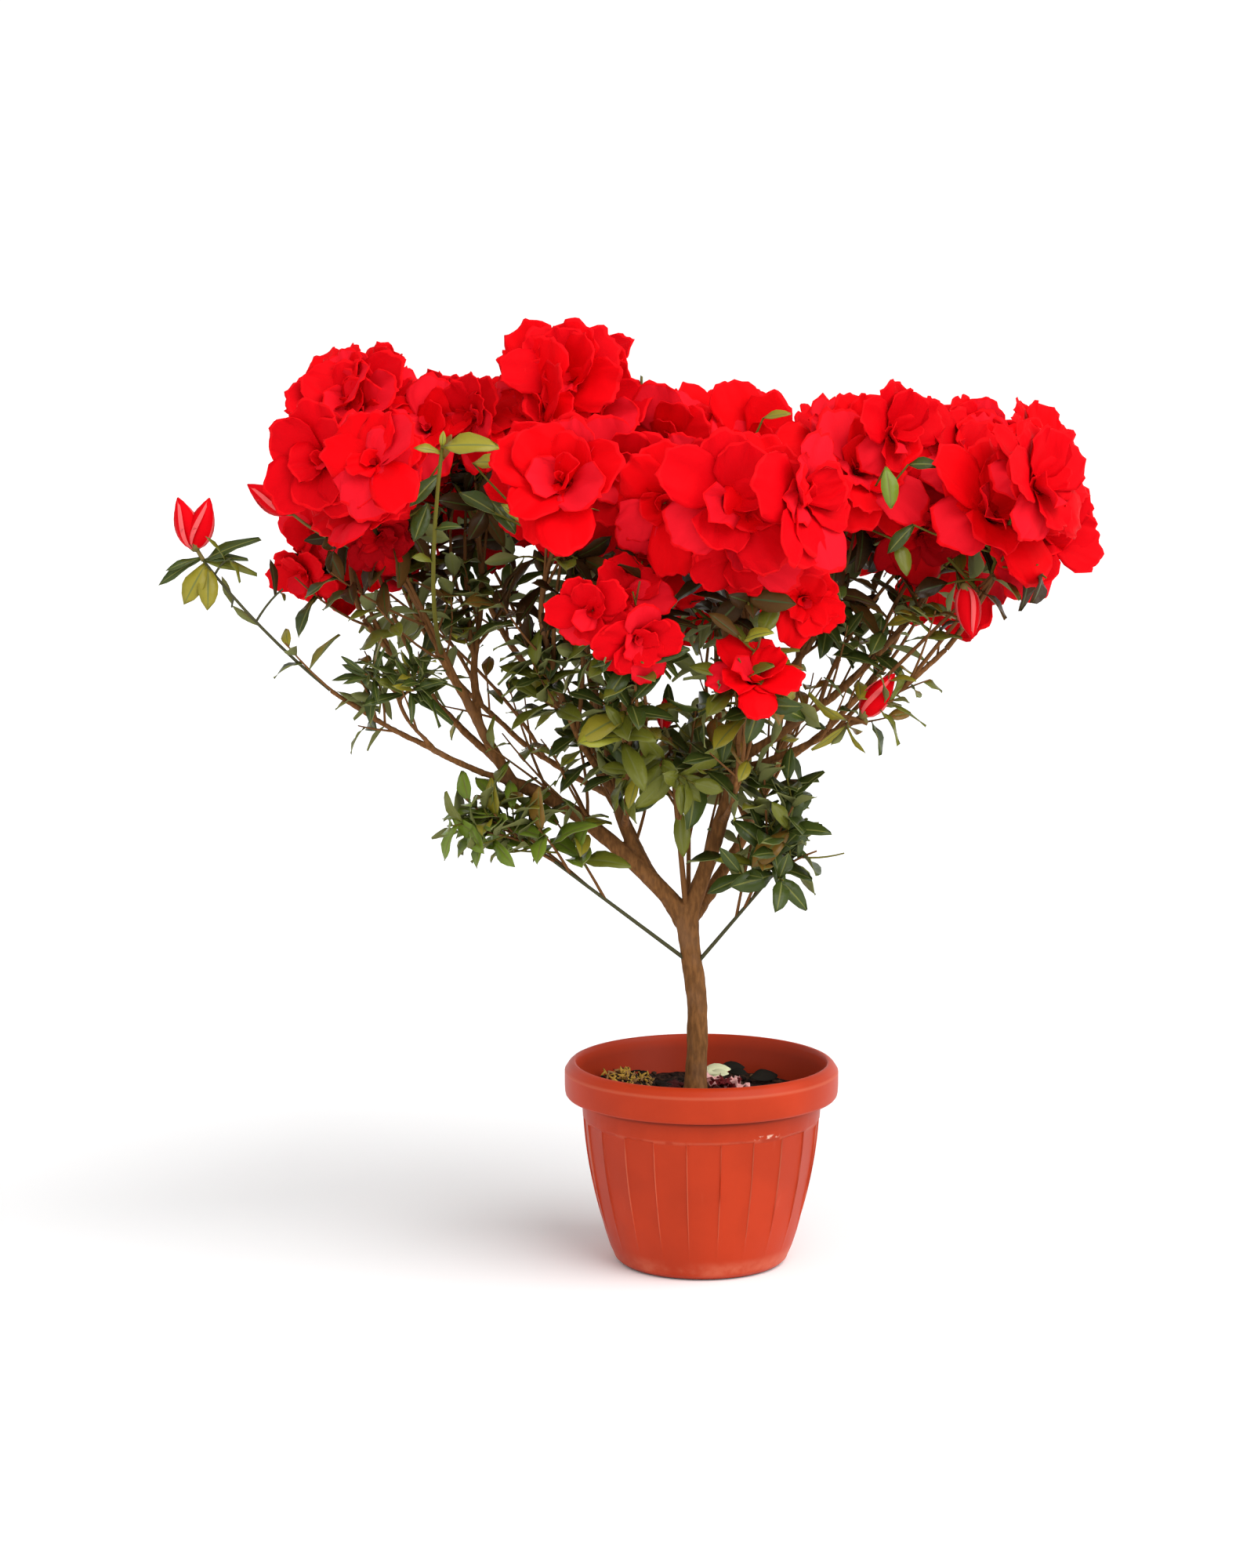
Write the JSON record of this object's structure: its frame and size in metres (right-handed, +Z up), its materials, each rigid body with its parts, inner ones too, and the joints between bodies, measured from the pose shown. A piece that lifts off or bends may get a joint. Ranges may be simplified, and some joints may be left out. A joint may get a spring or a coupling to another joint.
{
  "type": "potted azalea bonsai",
  "caption": "Bonsai-style azalea with a slim leaning trunk, fanned boughs and a wide uneven crown of red double flowers, standing in a round panelled plastic pot.",
  "frame": {"origin": "middle of the pot's flat underside", "axes": "+Z up, +X to the right and +Y away from the viewer of the picture, in which the long lone twig is at the left"},
  "size_m": [0.461, 0.2913, 0.4727],
  "materials": {
    "pot": "satin terracotta-coloured plastic",
    "soil": "moist dark crumbly peat",
    "bark": "fine brown bark",
    "flower": "soft matt red petals with green twigs and leaves below",
    "leaf": "semi-gloss dark green leaves on thin twigs"
  },
  "bodies": {
    "root": {"pot": "pot", "soil": "soil", "trunk": "bark", "back_centre_bough": "bark", "back_left_bough": "bark", "back_left_low_bough": "bark", "back_left_outer_bough": "bark", "back_low_bough": "bark", "back_right_bough": "bark", "back_right_inner_bough": "bark", "back_right_outer_bough": "bark", "centre_left_bough": "bark", "centre_upright_bough": "bark", "left_bough": "bark", "left_inner_bough": "bark", "left_leaf_bough": "bark", "left_low_bough": "bark", "left_outer_bough": "bark", "left_slant_bough": "bark", "left_upright_bough": "bark", "low_front_bough": "bark", "low_right_bough": "bark", "right_bough": "bark", "right_front_bough": "bark", "right_leaf_bough": "bark", "right_low_bough": "bark", "right_mid_bough": "bark", "right_outer_bough": "bark", "right_upright_bough": "bark", "back_centre_bloom": "flower", "back_left_bloom": "flower", "back_low_bloom": "flower", "back_low_left_bloom": "flower", "back_outer_bloom": "flower", "back_right_bloom": "flower", "centre_bloom": "flower", "centre_front_bloom": "flower", "centre_left_bloom": "flower", "centre_top_bloom": "flower", "left_front_bloom": "flower", "left_mid_bloom": "flower", "left_top_bloom": "flower", "low_front_bloom": "flower", "low_right_bloom": "flower", "right_mid_bloom": "flower", "right_tip_bloom": "flower", "right_top_bloom": "flower", "back_leaf_spray": "leaf", "centre_leaf_spray": "leaf", "left_leaf_spray": "leaf", "left_tip_spray": "leaf", "low_left_spray": "leaf", "low_right_spray": "leaf", "right_leaf_spray": "leaf"}
  },
  "joints": []
}
